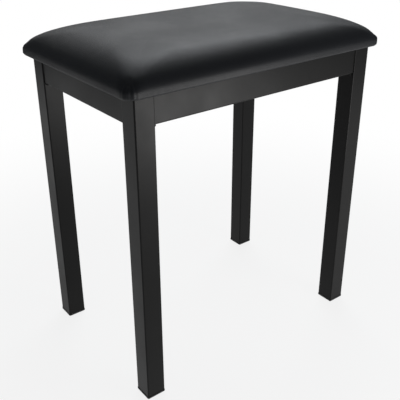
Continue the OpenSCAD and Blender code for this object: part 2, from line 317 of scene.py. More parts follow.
@made_once
def pebble_group():
    """Rounded pebbles with creases between them, as on leathercloth, or the cells of a foam."""
    tree, given, out = new_tree(
        "pebble", "ShaderNodeTree",
        [("Vector", "NodeSocketVector", None), ("Size", "NodeSocketFloat", 0.001),
         ("Crease", "NodeSocketFloat", 0.25)],
        [("Height", "NodeSocketFloat"), ("Creases", "NodeSocketFloat")],
    )
    scale = add(tree, "ShaderNodeMath", {0: 1.0, 1: given.outputs["Size"]}, operation="DIVIDE")
    bend_scale = add(tree, "ShaderNodeMath", {0: scale.outputs[0], 1: 0.45}, operation="MULTIPLY")
    bend = add(tree, "ShaderNodeTexNoise", {
        "Vector": given.outputs["Vector"], "Scale": bend_scale.outputs[0], "Detail": 1.0,
    })
    reach = add(tree, "ShaderNodeMath", {0: given.outputs["Size"], 1: 0.9}, operation="MULTIPLY")
    push = add(tree, "ShaderNodeVectorMath", {0: bend.outputs["Color"], "Scale": reach.outputs[0]},
               operation="SCALE")
    bent = add(tree, "ShaderNodeVectorMath", {0: given.outputs["Vector"], 1: push.outputs[0]})
    cells = add(tree, "ShaderNodeTexVoronoi", {"Vector": bent.outputs[0], "Scale": scale.outputs[0]},
                feature="DISTANCE_TO_EDGE")
    dome = add(tree, "ShaderNodeMapRange", {
        "Value": cells.outputs["Distance"], "From Min": 0.0, "From Max": given.outputs["Crease"],
        "To Min": 0.0, "To Max": 1.0,
    }, interpolation_type="SMOOTHSTEP")
    crease = add(tree, "ShaderNodeMath", {0: 1.0, 1: dome.outputs["Result"]}, operation="SUBTRACT")
    tree.links.new(dome.outputs["Result"], out.inputs["Height"])
    tree.links.new(crease.outputs[0], out.inputs["Creases"])
    return tree


# ---- materials ----


def new_material(name, **constants):
    """A Principled material with its constants set, and its Object coordinates."""
    material = bpy.data.materials.new(name)
    material.use_nodes = True
    tree = material.node_tree
    shader = tree.nodes["Principled BSDF"]
    for key, value in constants.items():
        shader.inputs[key.replace("_", " ").title().replace("Ior", "IOR")].default_value = value
    place = tree.nodes.new("ShaderNodeTexCoord").outputs["Object"]
    return material, tree, shader, place


def set_bump(tree, shader, height, strength, distance):
    """Feeds a height in metres times distance to the shader's normal."""
    bump = add(tree, "ShaderNodeBump", {"Height": height, "Strength": strength, "Distance": distance})
    tree.links.new(bump.outputs["Normal"], shader.inputs["Normal"])


def set_tone(tree, shader, colour, value):
    """The base colour times a value that varies over the surface."""
    tone = add(tree, "ShaderNodeVectorMath", {0: tuple(colour)[:3], "Scale": value}, operation="SCALE")
    tree.links.new(tone.outputs[0], shader.inputs["Base Color"])


def mottled(tree, place, scale, low, high):
    """A value that varies slowly over the surface, between low and high."""
    mottle = add_group(tree, mottle_group(), {"Vector": place, "Scale": scale, "Low": low, "High": high})
    return mottle.outputs["Value"]


def set_roughness(tree, shader, value, grazing):
    """Roughness that grows towards the edges of what is seen, where a fine texture shades itself."""
    facing = add(tree, "ShaderNodeLayerWeight", {"Blend": 0.5})
    more = add(tree, "ShaderNodeMapRange", {
        "Value": facing.outputs["Facing"], "From Min": 0.6, "From Max": 1.0, "To Min": 0.0, "To Max": grazing,
    })
    both = add(tree, "ShaderNodeMath", {0: value, 1: more.outputs["Result"]})
    tree.links.new(both.outputs[0], shader.inputs["Roughness"])


@made_once
def powder_coat():
    """Satin black powder coat: fine lumps, and a slow change of gloss."""
    looks = bpy.context.scene.bench_frame
    material, tree, shader, place = new_material("powder_coat", specular_ior_level=0.12)
    set_tone(tree, shader, looks.colour, mottled(tree, place, 9.0, 0.88, 1.12))
    gloss = mottled(tree, place, 14.0, looks.roughness - 0.03, looks.roughness + 0.03)
    set_roughness(tree, shader, gloss, 0.4)
    skin = add_group(tree, cast_texture_group(), {"Vector": place, "Spacing": looks.peel, "Fine": 0.35})
    set_bump(tree, shader, skin.outputs["Height"], 0.35, 0.03 * MM)
    return material


@made_once
def plug_plastic():
    """Moulded black plastic with a spark-textured skin."""
    looks = bpy.context.scene.bench_frame
    material, tree, shader, place = new_material("plug_plastic")
    set_tone(tree, shader, looks.plug_colour, mottled(tree, place, 40.0, 0.85, 1.15))
    tree.links.new(mottled(tree, place, 60.0, 0.5, 0.62), shader.inputs["Roughness"])
    skin = add_group(tree, cast_texture_group(), {"Vector": place, "Spacing": 0.5 * MM, "Fine": 0.8})
    set_bump(tree, shader, skin.outputs["Height"], 0.5, 0.05 * MM)
    return material


@made_once
def leathercloth():
    """Black leathercloth: a fine pebbled grain whose creases are duller than its domes and darkened with
    painted shade.
    """
    looks = bpy.context.scene.bench_seat
    material, tree, shader, place = new_material("leathercloth", specular_ior_level=0.35)
    grain = add_group(tree, pebble_group(), {"Vector": place, "Size": looks.grain, "Crease": 0.22})
    # Base colour: painted shade in the grain's creases, times a slow random tone
    shade = add(tree, "ShaderNodeMath", {
        0: grain.outputs["Creases"], 1: -0.25, 2: mottled(tree, place, 7.0, 0.92, 1.08),
    }, operation="MULTIPLY_ADD")
    set_tone(tree, shader, looks.colour, shade.outputs[0])
    rough = add(tree, "ShaderNodeMath", {
        0: grain.outputs["Creases"], 1: 0.15,
        2: mottled(tree, place, 11.0, looks.roughness - 0.03, looks.roughness + 0.03),
    }, operation="MULTIPLY_ADD")
    set_roughness(tree, shader, rough.outputs[0], 0.3)
    set_bump(tree, shader, grain.outputs["Height"], 0.3, 0.08 * MM)
    return material


@made_once
def foam():
    """Cream open-cell foam, its cell hollows darkened with painted shade."""
    material, tree, shader, place = new_material("foam", roughness=0.95)
    cells = add_group(tree, pebble_group(), {"Vector": place, "Size": 1.6 * MM, "Crease": 0.3})
    # Base colour: painted shade in the cells' hollows, times a slow random tone
    shade = add(tree, "ShaderNodeMath", {
        0: cells.outputs["Creases"], 1: -0.35, 2: mottled(tree, place, 20.0, 0.93, 1.05),
    }, operation="MULTIPLY_ADD")
    set_tone(tree, shader, (0.72, 0.62, 0.34), shade.outputs[0])
    set_bump(tree, shader, cells.outputs["Height"], 0.6, 0.4 * MM)
    return material


@made_once
def plywood():
    """Plywood: long grain on its faces, and its plies at its edges."""
    material, tree, shader, place = new_material("plywood")
    ply = 1.4 * MM
    stretch = add(tree, "ShaderNodeMapping", {"Vector": place, "Scale": (6.0, 60.0, 60.0)})
    grain = add(tree, "ShaderNodeTexNoise", {
        "Vector": stretch.outputs["Vector"], "Scale": 3.0, "Detail": 5.0, "Distortion": 0.4,
    })
    parts = add(tree, "ShaderNodeSeparateXYZ", {"Vector": place})
    layers = add(tree, "ShaderNodeMath", {0: parts.outputs["Z"], 1: ply}, operation="PINGPONG")
    layer = add(tree, "ShaderNodeMapRange", {
        "Value": layers.outputs[0], "From Min": ply * 0.45, "From Max": ply * 0.55,
        "To Min": 0.72, "To Max": 1.0,
    })
    shade = add(tree, "ShaderNodeMath", {0: grain.outputs["Fac"], 1: 0.5, 2: layer.outputs["Result"]},
                operation="MULTIPLY_ADD")
    set_tone(tree, shader, (0.42, 0.27, 0.13), shade.outputs[0])
    tree.links.new(mottled(tree, place, 30.0, 0.6, 0.75), shader.inputs["Roughness"])
    set_bump(tree, shader, grain.outputs["Fac"], 0.3, 0.2 * MM)
    return material


@made_once
def lining_cloth():
    """Black non-woven cloth: a mat of fine fibres, pressed in small points."""
    material, tree, shader, place = new_material("lining_cloth", roughness=0.9, sheen_weight=0.25)
    long_way = add(tree, "ShaderNodeMapping", {"Vector": place, "Scale": (300.0, 2200.0, 900.0)})
    cross_way = add(tree, "ShaderNodeMapping", {
        "Vector": place, "Scale": (2200.0, 300.0, 900.0), "Rotation": (0, 0, 0.6),
    })
    threads = [
        add(tree, "ShaderNodeTexNoise", {"Vector": way.outputs["Vector"], "Scale": 1.0, "Detail": 2.0})
        for way in (long_way, cross_way)
    ]
    mat = add(tree, "ShaderNodeMath", {0: threads[0].outputs["Fac"], 1: threads[1].outputs["Fac"]},
              operation="MAXIMUM")
    shade = add(tree, "ShaderNodeMath", {0: mat.outputs[0], 1: 1.2, 2: mottled(tree, place, 60.0, 0.1, 0.5)},
                operation="MULTIPLY_ADD")
    set_tone(tree, shader, (0.016, 0.016, 0.017), shade.outputs[0])
    set_bump(tree, shader, mat.outputs[0], 0.5, 0.15 * MM)
    return material


@made_once
def zinc_plate():
    """Bright zinc plate on steel, a little uneven."""
    material, tree, shader, place = new_material("zinc_plate", metallic=1.0)
    set_tone(tree, shader, (0.56, 0.57, 0.6), mottled(tree, place, 220.0, 0.85, 1.1))
    tree.links.new(mottled(tree, place, 500.0, 0.26, 0.42), shader.inputs["Roughness"])
    skin = add_group(tree, cast_texture_group(), {"Vector": place, "Spacing": 0.6 * MM, "Fine": 0.5})
    set_bump(tree, shader, skin.outputs["Height"], 0.2, 0.02 * MM)
    return material


# ---- mesh helpers ----


def link_object(name, mesh):
    obj = bpy.data.objects.new(name, mesh)
    bpy.context.scene.collection.objects.link(obj)
    return obj


def mesh_from(bm, name):
    mesh = bpy.data.meshes.new(name)
    bm.to_mesh(mesh)
    bm.free()
    return mesh


def shade_smooth(mesh, angle=math.radians(35)):
    """Smooth faces, with edges sharper than the angle kept."""
    mesh.shade_smooth()
    mesh.set_sharp_from_angle(angle=angle)


def finish_piece(obj, material, slot, *nodes):
    """Gives a piece its material and its body, and hides the nodes that it stands for; the slot is not used.
    """
    if material is not None:
        obj.data.materials.clear()
        obj.data.materials.append(material)
    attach(obj, BODY)
    if nodes:
        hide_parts(*nodes)
    return obj


def coat_node(node, material):
    """Gives a CAD node's own object a material."""
    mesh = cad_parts[node].data
    mesh.materials.clear()
    mesh.materials.append(material)


def baked_mesh(obj):
    """The object's mesh with its modifiers worked in."""
    bpy.context.view_layer.update()
    graph = bpy.context.evaluated_depsgraph_get()
    return bpy.data.meshes.new_from_object(obj.evaluated_get(graph), depsgraph=graph)


def run_nodes(name, mesh, tree, values):
    """Runs a Geometry Nodes tree on a mesh and returns the result as a plain mesh object."""
    obj = link_object(name, mesh)
    modifier = obj.modifiers.new("Nodes", "NODES")
    modifier.node_group = tree
    for item in tree.interface.items_tree:
        if item.in_out == "INPUT" and item.name in values:
            modifier[item.identifier] = values[item.name]
    result = baked_mesh(obj)
    if not result.polygons:
        raise RuntimeError(f"{name}: the nodes made no faces")
    obj.modifiers.remove(modifier)
    obj.data = result
    return obj


def solids_of(node):
    """The lowest and highest corner of each separate solid in a CAD node."""
    bm = bmesh.new()
    bm.from_mesh(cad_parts[node].data)
    bmesh.ops.remove_doubles(bm, verts=bm.verts, dist=0.001 * MM)
    left, boxes = set(bm.verts), []
    while left:
        island, edge = set(), {min(left, key=lambda v: v.index)}
        while edge:
            island |= edge
            edge = {e.other_vert(v) for v in edge for e in v.link_edges} - island
        left -= island
        points = np.array([v.co for v in island])
        boxes.append((Vector(points.min(0)), Vector(points.max(0))))
    bm.free()
    return sorted(boxes, key=lambda box: tuple(round(x, 5) for x in box[0]))


def points_of(mesh):
    return np.array([v.co for v in mesh.vertices])


def set_points(mesh, points):
    mesh.vertices.foreach_set("co", points.astype(np.float32).ravel())
    mesh.update()


def path_mesh(name, paths):
    """A mesh of open lines, one for each list of points."""
    bm = bmesh.new()
    for path in paths:
        points = [bm.verts.new(p) for p in path]
        for a, b in zip(points, points[1:]):
            bm.edges.new((a, b))
    return mesh_from(bm, name)


def ring_mesh(name, rings, closed=False):
    """A closed mesh through rings of points, joined end to end or capped at both ends."""
    bm = bmesh.new()
    loops = [[bm.verts.new(p) for p in ring] for ring in rings]
    n = len(loops[0])
    pairs = list(zip(loops, loops[1:])) + ([(loops[-1], loops[0])] if closed else [])
    for low, high in pairs:
        for i in range(n):
            bm.faces.new((low[i], low[(i + 1) % n], high[(i + 1) % n], high[i]))
    if not closed:
        bm.faces.new(loops[0])
        bm.faces.new(loops[-1])
    bmesh.ops.recalc_face_normals(bm, faces=bm.faces)
    return mesh_from(bm, name)


def circle_ring(radius, z, steps=48):
    return [
        (radius * math.cos(math.tau * i / steps), radius * math.sin(math.tau * i / steps), z)
        for i in range(steps)
    ]


# ---- frame ----


class BENCH_OT_coat_frame(bpy.types.Operator):
    """Coats the legs, the rails and the gussets"""

    bl_idname = "bench.coat_frame"
    bl_label = "Coat the frame"

    def execute(self, context):
        for node in LEGS + RAILS + GUSSETS:
            coat_node(node, powder_coat())
        return {"FINISHED"}


class BENCH_OT_foot_plugs(bpy.types.Operator):
    """Gives the foot plugs their plastic"""

    bl_idname = "bench.foot_plugs"
    bl_label = "Finish the foot plugs"

    def execute(self, context):
        for node in PLUGS:
            coat_node(node, plug_plastic())
        return {"FINISHED"}


@made_once
def weld_tree():
    """Beads along lines: flattened drops one after another, as a welder lays them down."""
    tree, given, out = new_tree(
        "weld_bead", "GeometryNodeTree",
        [("Geometry", "NodeSocketGeometry", None), ("Ripple Spacing", "NodeSocketFloat", 1.6 * MM),
         ("Bead Radius", "NodeSocketFloat", 2.4 * MM), ("Seed", "NodeSocketInt", 3),
         ("Material", "NodeSocketMaterial", None)],
        [("Geometry", "NodeSocketGeometry")],
    )
    line = add(tree, "GeometryNodeMeshToCurve", {"Mesh": given.outputs["Geometry"]})
    points = add(tree, "GeometryNodeCurveToPoints", {
        "Curve": line.outputs["Curve"], "Length": given.outputs["Ripple Spacing"],
    }, mode="LENGTH")
    drop = add(tree, "GeometryNodeMeshUVSphere", {
        "Segments": 12, "Rings": 8, "Radius": given.outputs["Bead Radius"],
    })
    size = add(tree, "FunctionNodeRandomValue", {
        "Min": (0.94, 0.94, 0.5), "Max": (1.06, 1.06, 0.62), "Seed": given.outputs["Seed"],
    }, data_type="FLOAT_VECTOR")
    turn = add(tree, "FunctionNodeAlignRotationToVector", {"Vector": points.outputs["Tangent"]}, axis="Z")
    drops = add(tree, "GeometryNodeInstanceOnPoints", {
        "Points": points.outputs["Points"], "Instance": drop.outputs["Mesh"],
        "Rotation": turn.outputs["Rotation"], "Scale": size.outputs["Value"],
    })
    real = add(tree, "GeometryNodeRealizeInstances", {"Geometry": drops.outputs["Instances"]})
    smooth = add(tree, "GeometryNodeSetShadeSmooth", {"Geometry": real.outputs["Geometry"]})
    painted = add(tree, "GeometryNodeSetMaterial", {
        "Geometry": smooth.outputs["Geometry"], "Material": given.outputs["Material"],
    })
    tree.links.new(painted.outputs["Geometry"], out.inputs["Geometry"])
    return tree


def weld_line(low, high):
    """The line in the middle of a weld's box, set in a little from both ends."""
    size = high - low
    axis = max(range(3), key=lambda i: size[i])
    centre = (low + high) / 2
    step = Vector()
    step[axis] = size[axis] / 2 - 0.8 * MM
    return [centre - step, centre + step]


class BENCH_OT_welds(bpy.types.Operator):
    """Lays the rippled weld beads of the frame"""

    bl_idname = "bench.welds"
    bl_label = "Lay the welds"

    def execute(self, context):
        looks = context.scene.bench_frame
        boxes = solids_of("weld_beads")
        leg_length = min(min(high - low) for low, high in boxes)
        lines = path_mesh("weld_lines", [weld_line(low, high) for low, high in boxes])
        beads = run_nodes("welds", lines, weld_tree(), {
            "Ripple Spacing": looks.ripple, "Bead Radius": leg_length * 0.62, "Seed": 3,
            "Material": powder_coat(),
        })
        finish_piece(beads, None, "powder_coated_steel", "weld_beads")
        return {"FINISHED"}


# ---- seat ----


def eased(share):
    """A share from 0 to 1 whose steps get shorter towards 1."""
    return 1 - (1 - share) ** CORNER_CROWDING


def outline_point(half_x, half_y, radius, along, cells_x, cells_y):
    """A point of a rounded rectangle's quarter, along cells on from the middle of its +X side."""
    if along > cells_y:
        y, x = outline_point(half_y, half_x, radius, cells_x + cells_y - along, cells_y, cells_x)
        return x, y
    straight = half_y - radius
    length = eased(along / cells_y if cells_y else 0) * (straight + radius * math.pi / 4)
    if length <= straight or radius == 0:
        return half_x, length
    turn = (length - straight) / radius
    return half_x - radius + radius * math.cos(turn), straight + radius * math.sin(turn)


class Pad:
    """The seat's form: a crowned top on a grid of quads, with rings of points below its edge."""

    def __init__(self, looks, skin, crown_drop=0.0):
        low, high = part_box("seat_cover")
        board_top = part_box("seat_board")[1].z
        self.skin = skin
        self.half_x = high.x - skin
        self.half_y = high.y - skin
        self.corner = looks.corner - skin
        self.base_z = low.z
        self.board_top = board_top
        self.edge_z = board_top + looks.edge_rise - skin
        self.crown = high.z - skin - self.edge_z - crown_drop
        self.run = looks.crown_run
        self.power = looks.crown_power
        self.roundness = looks.roundness
        self.cells_x = round(self.half_x / looks.cell)
        self.cells_y = round(self.half_y / looks.cell)
        self.bm = bmesh.new()
        self.make_top()

    def ring_at(self, steps_in):
        """Half sizes, corner radius and height of the ring that lies some cells in from the edge."""
        inset = self.half_y * (steps_in / self.cells_y) ** EDGE_CROWDING
        rise = (1 - (1 - min(inset / self.run, 1)) ** self.power) ** self.roundness
        half_y = self.half_y - inset
        radius = min(self.corner + inset, ROUNDEST_END * half_y)
        return self.half_x - inset, half_y, radius, self.edge_z + self.crown * rise

    def make_top(self):
        nx, ny = self.cells_x, self.cells_y
        grid = {}
        for i in range(-nx, nx + 1):
            for j in range(-ny, ny + 1):
                steps_in = min(nx - abs(i), ny - abs(j))
                a, b = nx - steps_in, ny - steps_in
                along = abs(j) if abs(i) == a else b + a - abs(i)
                half_x, half_y, radius, z = self.ring_at(steps_in)
                x, y = outline_point(half_x, half_y, radius, along, a, b)
                grid[i, j] = self.bm.verts.new((math.copysign(x, i), math.copysign(y, j), z))
        for i in range(-nx, nx):
            for j in range(-ny, ny):
                self.bm.faces.new((grid[i, j], grid[i + 1, j], grid[i + 1, j + 1], grid[i, j + 1]))
        steps = [(nx, j) for j in range(-ny, ny)] + [(i, ny) for i in range(nx, -nx, -1)]
        self.border = steps + [(-i, -j) for i, j in steps]
        self.last = [grid[step] for step in self.border]

    def add_ring(self, half_x, half_y, radius, z):
        """One more ring below the last one."""
        nx, ny = self.cells_x, self.cells_y
        ring = []
        for i, j in self.border:
            along = abs(j) if abs(i) == nx else ny + nx - abs(i)
            x, y = outline_point(half_x, half_y, radius, along, nx, ny)
            ring.append(self.bm.verts.new((math.copysign(x, i), math.copysign(y, j), z)))
        n = len(ring)
        for k in range(n):
            m = (k + 1) % n
            self.bm.faces.new((self.last[k], ring[k], ring[m], self.last[m]))
        self.last = ring

    def add_side(self, bottom_z, steps):
        """Straight down from the edge to bottom_z."""
        for step in range(1, steps + 1):
            z = self.edge_z + (bottom_z - self.edge_z) * step / steps
            self.add_ring(self.half_x, self.half_y, self.corner, z)

    def close(self):
        self.bm.faces.new(reversed(self.last))


def near_mean(mesh, values):
    """The mean of each point's neighbours' values, for one column of values."""
    ends = np.array([e.vertices for e in mesh.edges])
    total = np.bincount(ends[:, 0], values[ends[:, 1]], len(values))
    total += np.bincount(ends[:, 1], values[ends[:, 0]], len(values))
    return total / np.bincount(ends.ravel(), minlength=len(values))


def swell_of(mesh, held_below, limit):
    """How each point of a closed pad moves outward under pressure, held still below a height."""
    obj = link_object("swelling", mesh)
    held = obj.vertex_groups.new(name="held")
    held.add([v.index for v in mesh.vertices if v.co.z < held_below], 1.0, "REPLACE")
    cloth = obj.modifiers.new("Cloth", "CLOTH")
    cloth.settings.quality = 5
    cloth.settings.mass = CLOTH_MASS
    cloth.settings.use_pressure = True
    cloth.settings.uniform_pressure_force = CLOTH_PRESSURE
    cloth.settings.vertex_group_mass = "held"
    cloth.settings.effector_weights.gravity = 0
    cloth.settings.tension_stiffness = cloth.settings.compression_stiffness = CLOTH_STRETCH
    cloth.settings.shear_stiffness = CLOTH_SHEAR
    cloth.settings.bending_stiffness = CLOTH_BEND
    cloth.point_cache.frame_start = 1
    cloth.point_cache.frame_end = CLOTH_FRAMES
    scene = bpy.context.scene
    for step in range(1, CLOTH_FRAMES + 1):
        scene.frame_set(step)
    result = baked_mesh(obj)
    normals = np.array([v.normal for v in mesh.vertices])
    moved = points_of(result) - points_of(mesh)
    scene.frame_set(1)
    bpy.data.objects.remove(obj)
    outward = np.logaddexp(0, (moved * normals).sum(1) / MM) * MM
    outward[[v.index for v in mesh.vertices if v.co.z < held_below]] = 0
    for _ in range(SMOOTHING_ROUNDS):
        outward = (outward + near_mean(mesh, outward)) / 2
    return normals * (limit * np.tanh(outward / limit))[:, None]


def soften(mesh, low_z, high_z, rounds):
    """Rounds off a band of a mesh between two heights, most in the band's middle."""
    points = points_of(mesh)
    middle, reach = (low_z + high_z) / 2, (high_z - low_z) / 2
    share = np.clip(1 - np.abs(points[:, 2] - middle) / reach, 0, 1)[:, None]
    for _ in range(rounds):
        mean = np.stack([near_mean(mesh, points[:, axis]) for axis in range(3)], axis=1)
        points += share * (mean - points)
    set_points(mesh, points)


def corner_shape(points, pad, fold, pull):
    """How far out each point moves at the seat's corners: gathered folds, and the pull above them."""
    x = np.abs(points[:, 0]) - pad.half_x + pad.corner
    y = np.abs(points[:, 1]) - pad.half_y + pad.corner
    turn = pad.corner * (np.arctan2(np.maximum(y, 0), np.maximum(x, 0)) - math.pi / 4)
    arc = np.abs(turn + np.where(y < 0, y, 0) - np.where(x < 0, x, 0))
    height = points[:, 2] - pad.board_top
    pitch = pad.corner * FOLD_PITCH
    wave = 0.5 + 0.5 * np.cos(math.tau * arc / pitch)
    beside = np.clip((pad.corner * FOLD_REACH - arc) / pitch, 0, 1)
    folds = fold * wave * beside * np.clip(1 - height / FOLD_TOP, 0, 1)
    up = np.clip(height / PULL_START, 0, 1) * np.clip(1 - (height - PULL_START) / PULL_FADE, 0, 1)
    pulled = pull * up * np.exp(-((arc / (pad.corner * PULL_REACH)) ** 2))
    near = np.clip(1 + np.minimum(np.minimum(x, y), 0) / pad.corner, 0, 1)
    return (folds - pulled) * near


def shape_corners(mesh, pad, fold, pull, above):
    """Moves a mesh's points above a height along their normals, to the shape of the seat's corners."""
    points = points_of(mesh)
    normals = np.array([v.normal for v in mesh.vertices])
    normals[points[:, 2] < above] = 0
    set_points(mesh, points + normals * corner_shape(points, pad, fold, pull)[:, None])


class BENCH_OT_seat_cover(bpy.types.Operator):
    """Makes the seat's cover, swollen over its foam and turned under its board"""

    bl_idname = "bench.seat_cover"
    bl_label = "Make the seat cover"

    def execute(self, context):
        looks = context.scene.bench_seat
        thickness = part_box("seat_board")[0].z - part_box("seat_cover")[0].z
        fold_radius = 2 * thickness
        pad, filled = Pad(looks, 0.0, crown_drop=looks.swell), Pad(looks, 0.0, crown_drop=looks.swell)
        bottom_z = pad.base_z + fold_radius
        pad.add_side(bottom_z, 4)
        filled.add_side(bottom_z, 4)
        filled.close()
        for step in range(1, 5):
            turn = math.radians(90) * step / 4
            inset = fold_radius * (1 - math.cos(turn))
            z = pad.base_z + fold_radius * (1 - math.sin(turn))
            pad.add_ring(pad.half_x - inset, pad.half_y - inset, pad.corner - inset, z)
        rail_x, rail_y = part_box("rail_right")[0].x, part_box("rail_rear")[0].y
        for step in range(1, 7):
            share = step / 6
            wide = [
                (start - fold_radius) * (1 - share) + (end - looks.lip) * share
                for start, end in ((pad.half_x, rail_x), (pad.half_y, rail_y))
            ]
            radius = (pad.corner - fold_radius) * (1 - share) + LIP_CORNER * share
            pad.add_ring(wide[0], wide[1], radius, pad.base_z)
        mesh = mesh_from(pad.bm, "seat_cover")
        shift = swell_of(mesh_from(filled.bm, "filled_pad"), pad.base_z + HELD_HEIGHT, looks.swell)
        points = points_of(mesh)
        points[:len(shift)] += shift
        set_points(mesh, points)
        cover = link_object("cover", mesh)
        smoother = cover.modifiers.new("Smooth", "SUBSURF")
        smoother.levels = smoother.render_levels = 1
        cover.data = baked_mesh(cover)
        cover.modifiers.remove(smoother)
        mesh = cover.data
        soften(mesh, bottom_z, pad.edge_z + EDGE_HEIGHT, EDGE_ROUNDS)
        shape_corners(mesh, pad, looks.fold, looks.pull, bottom_z)
        shade_smooth(mesh, math.radians(60))
        skin = cover.modifiers.new("Thickness", "SOLIDIFY")
        skin.thickness = thickness
        skin.offset = -1
        finish_piece(cover, leathercloth(), "leathercloth", "seat_cover")
        return {"FINISHED"}


class BENCH_OT_seat_core(bpy.types.Operator):
    """Makes the foam under the cover, and gives the board its wood"""

    bl_idname = "bench.seat_core"
    bl_label = "Make the foam and finish the board"

    def execute(self, context):
        looks = context.scene.bench_seat
        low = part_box("seat_foam")[0]
        cover_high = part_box("seat_cover")[1]
        skin = cover_high.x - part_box("seat_foam")[1].x + FOAM_GAP
        pad = Pad(looks, skin, crown_drop=looks.swell)
        pad.add_side(low.z, 2)
        pad.close()
        mesh = mesh_from(pad.bm, "foam")
        shape_corners(mesh, pad, 0, looks.pull, pad.board_top)
        shade_smooth(mesh)
        core = finish_piece(link_object("foam", mesh), foam(), "foam", "seat_foam")
        coat_node("seat_board", plywood())
        return {"FINISHED"}


class BENCH_OT_lining(bpy.types.Operator):
    """Stretches the lining over the seat's underside"""

    bl_idname = "bench.lining"
    bl_label = "Stretch the lining"

    def execute(self, context):
        looks = context.scene.bench_seat
        low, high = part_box("bottom_lining")
        size = high - low
        corner = max(
            (v.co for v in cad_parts["bottom_lining"].data.vertices), key=lambda p: (round(p.x, 6), p.y)
        )
        reach = corner.x + corner.y
        bm = bmesh.new()
        bmesh.ops.create_grid(bm, x_segments=LINING_CELLS[0], y_segments=LINING_CELLS[1], size=1)
        for v in bm.verts:
            v.co = Vector((v.co.x * high.x, v.co.y * high.y, 0))
        for sx in (-1, 1):
            for sy in (-1, 1):
                normal = Vector((sx, sy, 0)).normalized()
                bmesh.ops.bisect_plane(
                    bm, geom=bm.verts[:] + bm.edges[:] + bm.faces[:], plane_co=normal * reach / math.sqrt(2),
                    plane_no=normal, clear_outer=True,
                )
        for v in bm.verts:
            u, w = v.co.x / high.x, v.co.y / high.y
            slack = (1 - u**4) * (1 - w**4)
            pucker = 1 + noise.noise(Vector((v.co.x * PUCKER_SCALE, v.co.y * PUCKER_SCALE, 4.0)))
            v.co.z = high.z - slack * (looks.sag * (1 - u**2) * (1 - w**2) + PUCKER_DEPTH * pucker)
        mesh = mesh_from(bm, "lining")
        mesh.shade_smooth()
        lining = link_object("lining", mesh)
        skin = lining.modifiers.new("Thickness", "SOLIDIFY")
        skin.thickness = size.z
        skin.offset = -1
        finish_piece(lining, lining_cloth(), "lining_cloth", "bottom_lining")
        return {"FINISHED"}


# ---- staples and bolts ----


@made_once
def wire_tree():
    """Bent round wire along lines."""
    tree, given, out = new_tree(
        "bent_wire", "GeometryNodeTree",
        [("Geometry", "NodeSocketGeometry", None), ("Wire Radius", "NodeSocketFloat", 0.3 * MM),
         ("Bend Radius", "NodeSocketFloat", 0.6 * MM), ("Material", "NodeSocketMaterial", None)],
        [("Geometry", "NodeSocketGeometry")],
    )
    line = add(tree, "GeometryNodeMeshToCurve", {"Mesh": given.outputs["Geometry"]})
    bent = add(tree, "GeometryNodeFilletCurve", {
        "Curve": line.outputs["Curve"], "Radius": given.outputs["Bend Radius"], "Count": 3,
    }, mode="POLY")
    profile = add(tree, "GeometryNodeCurvePrimitiveCircle", {
        "Resolution": 8, "Radius": given.outputs["Wire Radius"],
    })
    wire = add(tree, "GeometryNodeCurveToMesh", {
        "Curve": bent.outputs["Curve"], "Profile Curve": profile.outputs["Curve"], "Fill Caps": True,
    })
    real = add(tree, "GeometryNodeRealizeInstances", {"Geometry": wire.outputs["Mesh"]})
    painted = add(tree, "GeometryNodeSetMaterial", {
        "Geometry": real.outputs["Geometry"], "Material": given.outputs["Material"],
    })
    tree.links.new(painted.outputs["Geometry"], out.inputs["Geometry"])
    return tree


def staple_path(low, high, radius):
    """Up one leg, along the crown and down the other, through the middle of the wire."""
    across = 0 if high.x - low.x > high.y - low.y else 1
    centre = (low + high) / 2
    step = Vector()
    step[across] = (high - low)[across] / 2 - radius
    crown, tip = low.z + radius, high.z
    return [
        (centre + sign * step).to_2d().to_3d() + Vector((0, 0, z))
        for sign, z in ((-1, tip), (-1, crown), (1, crown), (1, tip))
    ]


class BENCH_OT_staples(bpy.types.Operator):
    """Drives the staples of the cover and of the lining"""

    bl_idname = "bench.staples"
    bl_label = "Drive the staples"

    def execute(self, context):
        for node in ("cover_staples", "lining_staples"):
            boxes = solids_of(node)
            radius = min(min(high - low) for low, high in boxes) / 2
            paths = path_mesh(node, [staple_path(low, high, radius) for low, high in boxes])
            wires = run_nodes(f"{node}_wire", paths, wire_tree(), {
                "Wire Radius": radius, "Bend Radius": 2.2 * radius, "Material": zinc_plate(),
            })
            finish_piece(wires, None, "zinc_steel", node)
        return {"FINISHED"}


@made_once
def copies_tree():
    """A copy of one piece at each point."""
    tree, given, out = new_tree(
        "copies", "GeometryNodeTree",
        [("Geometry", "NodeSocketGeometry", None), ("Piece", "NodeSocketObject", None),
         ("Turn", "NodeSocketFloat", 0.5), ("Seed", "NodeSocketInt", 5),
         ("Material", "NodeSocketMaterial", None)],
        [("Geometry", "NodeSocketGeometry")],
    )
    piece = add(tree, "GeometryNodeObjectInfo", {"Object": given.outputs["Piece"]})
    turn = add(tree, "FunctionNodeRandomValue", {"Min": 0.0, "Max": given.outputs["Turn"],
                                                 "Seed": given.outputs["Seed"]}, data_type="FLOAT")
    angle = add(tree, "ShaderNodeCombineXYZ", {"Z": turn.outputs["Value"]})
    turned = add(tree, "FunctionNodeEulerToRotation", {"Euler": angle.outputs["Vector"]})
    copies = add(tree, "GeometryNodeInstanceOnPoints", {
        "Points": given.outputs["Geometry"], "Instance": piece.outputs["Geometry"],
        "Rotation": turned.outputs["Rotation"],
    })
    real = add(tree, "GeometryNodeRealizeInstances", {"Geometry": copies.outputs["Instances"]})
    painted = add(tree, "GeometryNodeSetMaterial", {
        "Geometry": real.outputs["Geometry"], "Material": given.outputs["Material"],
    })
    tree.links.new(painted.outputs["Geometry"], out.inputs["Geometry"])
    return tree


